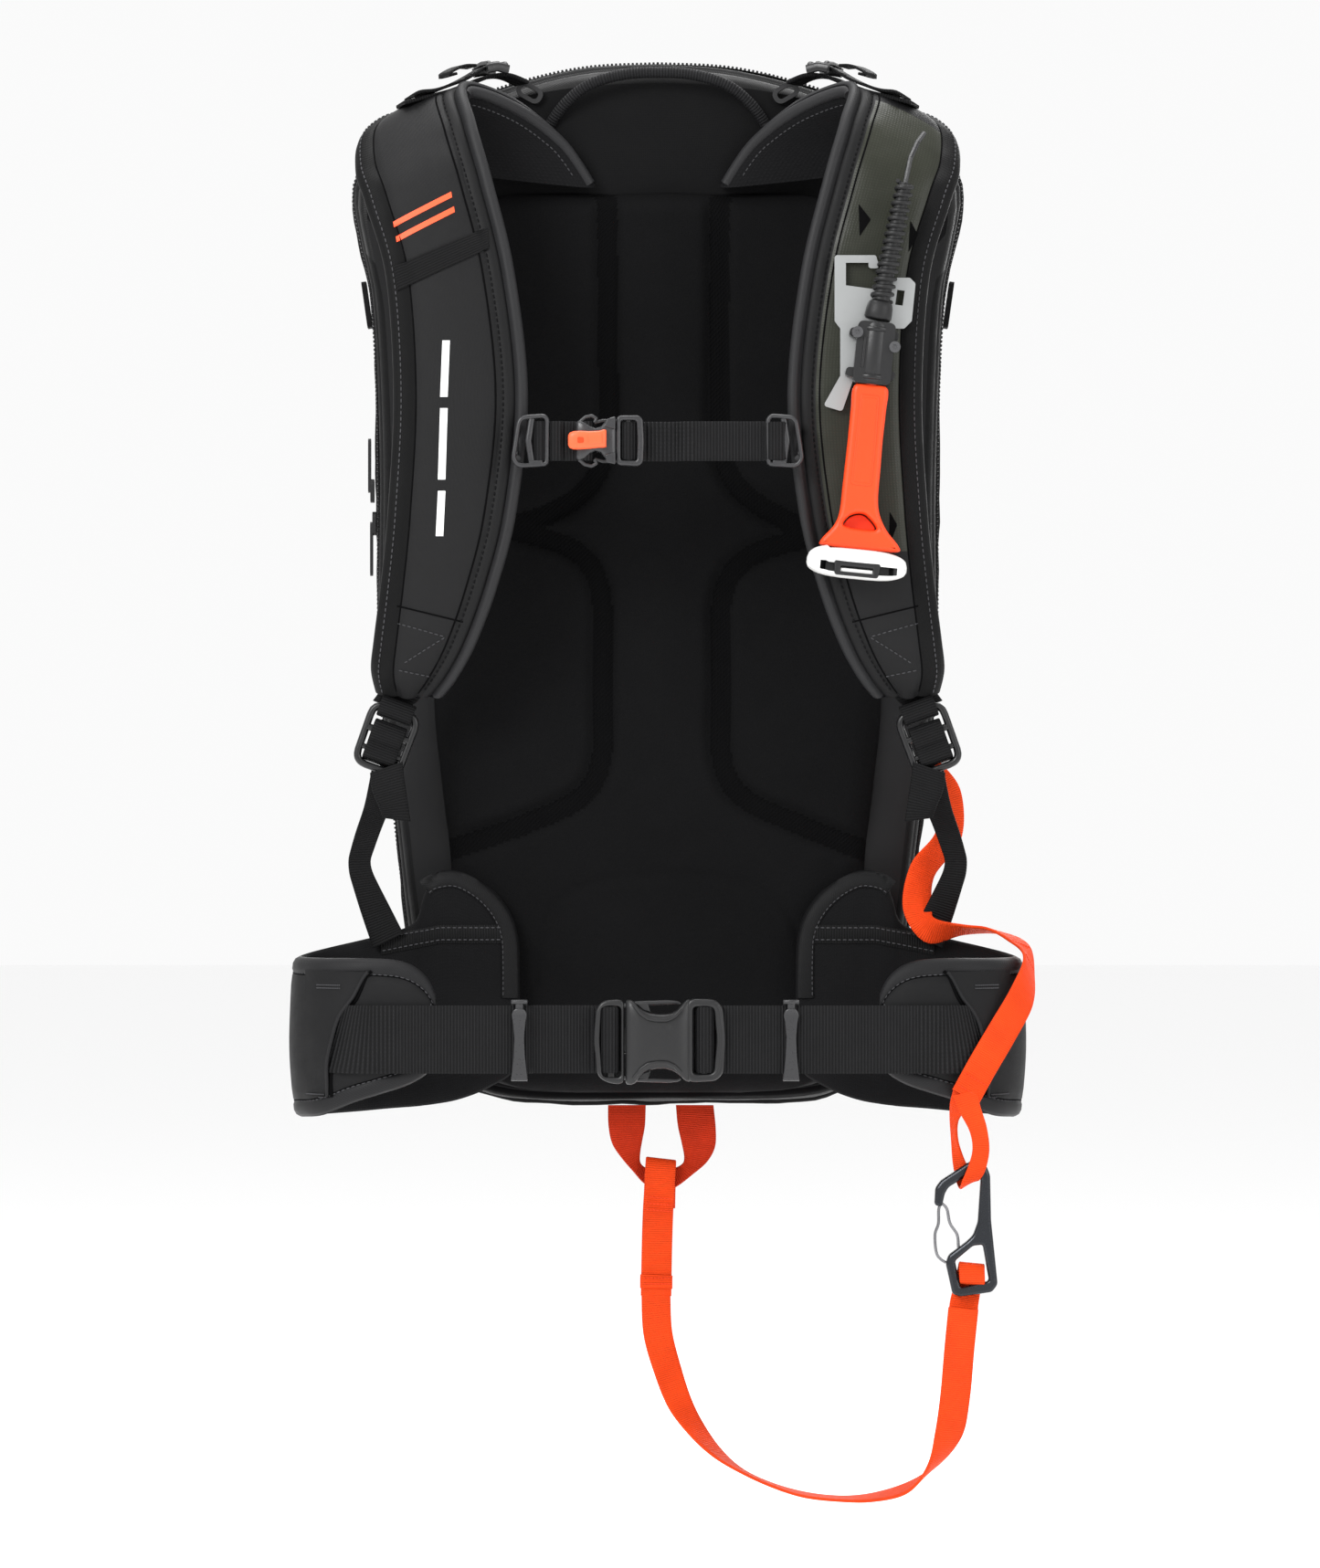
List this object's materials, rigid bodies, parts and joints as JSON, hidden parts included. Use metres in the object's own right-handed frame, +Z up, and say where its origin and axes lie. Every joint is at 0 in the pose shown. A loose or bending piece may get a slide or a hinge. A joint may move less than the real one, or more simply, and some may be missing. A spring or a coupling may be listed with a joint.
{
  "type": "avalanche airbag backpack",
  "caption": "Avalanche airbag backpack hanging by its haul loop, with padded harness, chest strap, hip belt, release trigger and an orange leg loop on a wire-gate carabiner.",
  "frame": {"origin": "underside of the top of the haul loop, where a hook carries the pack", "axes": "+Z up, +X to the right seen from the harness side, -Y out of the harness side towards the wearer, +Y towards the main compartment"},
  "size_m": [0.4075, 0.3039, 0.7884],
  "materials": {
    "pack_cloth": "coated ripstop nylon",
    "back_mesh": "brushed stretch knit over foam",
    "strap_cloth": "smooth coated nylon over foam",
    "wing_cloth": "coated nylon over foam",
    "webbing": "ribbed nylon webbing",
    "orange_webbing": "ribbed polyester webbing",
    "patch_film": "welded film patch",
    "plastic_black": "moulded, fine texture",
    "plastic_grey": "moulded acetal",
    "sheet_plastic": "extruded sheet",
    "stay_alloy": "bare drawn bar",
    "airbag_cloth": "folded coated nylon",
    "plate_metal": "bead blasted",
    "screw_steel": "turned",
    "boot_rubber": "moulded strain relief",
    "cable_sleeve": "extruded sleeve",
    "handle_orange": "glass filled nylon",
    "cap_white": "moulded grip cap",
    "whistle_orange": "moulded",
    "zip_plastic": "coil zip and tape",
    "zip_metal": "lacquered zinc",
    "carabiner_alloy": "dark anodised alloy",
    "gate_steel": "drawn spring wire"
  },
  "bodies": {
    "harness": {"back_panel": "back_mesh", "frame_tray": "pack_cloth", "frame_sheet": "sheet_plastic", "frame_stays": "stay_alloy", "airbag_pack": "airbag_cloth", "fan_unit": "plastic_black", "power_pack": "plastic_black", "haul_loop": "webbing", "shoulder_strap_left": "strap_cloth", "shoulder_strap_right": "strap_cloth", "trigger_patch": "patch_film", "lifter_webbing_left": "webbing", "lifter_webbing_right": "webbing", "lifter_buckles": "plastic_grey", "lifter_rings": "plastic_grey", "lower_webbing_left": "webbing", "lower_webbing_right": "webbing", "hip_wing_left": "wing_cloth", "hip_wing_right": "wing_cloth", "hip_flap_left": "wing_cloth", "hip_flap_right": "wing_cloth", "hip_webbing_left": "webbing", "hip_webbing_right": "webbing", "hip_buckle_female": "plastic_grey", "dock_plate": "plate_metal", "dock_clamp": "plastic_black", "dock_screws": "screw_steel", "cable_boot": "boot_rubber", "release_cable": "cable_sleeve", "zip_track_tray": "zip_plastic", "leg_anchor": "orange_webbing", "leg_drop_strap": "orange_webbing", "leg_strap": "orange_webbing", "leg_strap_loop": "orange_webbing", "hip_leg_loop": "orange_webbing", "hip_loop_end": "orange_webbing", "leg_carabiner": "carabiner_alloy"},
    "bag": {"bag_shell": "pack_cloth", "lash_loops": "webbing", "zip_track_shell": "zip_plastic"},
    "zip_lower": {"zip_slider_lower": "zip_metal"},
    "zip_upper": {"zip_slider_upper": "zip_metal"},
    "chest_strap": {"chest_clips": "plastic_grey", "chest_webbing_left": "webbing", "chest_webbing_right": "webbing", "chest_buckle_female": "plastic_grey", "whistle": "whistle_orange"},
    "chest_male": {"chest_buckle_male": "plastic_grey"},
    "hip_male": {"hip_buckle_male": "plastic_grey"},
    "keeper_left": {"belt_keeper_left": "plastic_grey"},
    "keeper_right": {"belt_keeper_right": "plastic_grey"},
    "lock_left": {"ladder_lock_left": "plastic_black"},
    "lock_right": {"ladder_lock_right": "plastic_black"},
    "trigger": {"trigger_handle": "handle_orange", "trigger_cap": "cap_white", "trigger_insert": "plastic_black"},
    "gate": {"carabiner_gate": "gate_steel"}
  },
  "joints": [
    {"name": "compartment_hinge", "type": "hinge", "parent": "harness", "child": "bag", "pos_m": [0, 0.04215, -0.55895], "axis": [-1, 0, 0], "range_deg": [0, 70]},
    {"name": "zip_lower_slide", "type": "slide", "parent": "harness", "child": "zip_lower", "axis": [0, 0, -1], "range_m": [0, 0.1]},
    {"name": "zip_upper_slide", "type": "slide", "parent": "harness", "child": "zip_upper", "axis": [0, 0, 1], "range_m": [0, 0.05]},
    {"name": "chest_height", "type": "slide", "parent": "harness", "child": "chest_strap", "axis": [0, 0, 1], "range_m": [-0.04, 0.05]},
    {"name": "chest_release", "type": "slide", "parent": "chest_strap", "child": "chest_male", "axis": [1, 0, 0], "range_m": [0, 0.012]},
    {"name": "hip_release", "type": "slide", "parent": "harness", "child": "hip_male", "axis": [-1, 0, 0], "range_m": [0, 0.029]},
    {"name": "keeper_left_slide", "type": "slide", "parent": "harness", "child": "keeper_left", "axis": [-1, 0, 0], "range_m": [0, 0.03]},
    {"name": "keeper_right_slide", "type": "slide", "parent": "harness", "child": "keeper_right", "axis": [1, 0, 0], "range_m": [-0.02, 0.03]},
    {"name": "lock_left_swing", "type": "hinge", "parent": "harness", "child": "lock_left", "pos_m": [-0.1416, -0.041, -0.3488], "axis": [-1, 0, 0], "range_deg": [0, 22]},
    {"name": "lock_right_swing", "type": "hinge", "parent": "harness", "child": "lock_right", "pos_m": [0.1416, -0.041, -0.3488], "axis": [-1, 0, 0], "range_deg": [0, 22]},
    {"name": "trigger_pull", "type": "slide", "parent": "harness", "child": "trigger", "axis": [-0.0993, 0, -0.9951], "range_m": [0, 0.018]},
    {"name": "gate_swing", "type": "hinge", "parent": "harness", "child": "gate", "pos_m": [0.1523, -0.085, -0.6345], "axis": [0, 1, 0], "range_deg": [0, 24], "stiffness_Nm_per_rad": 0.05}
  ]
}
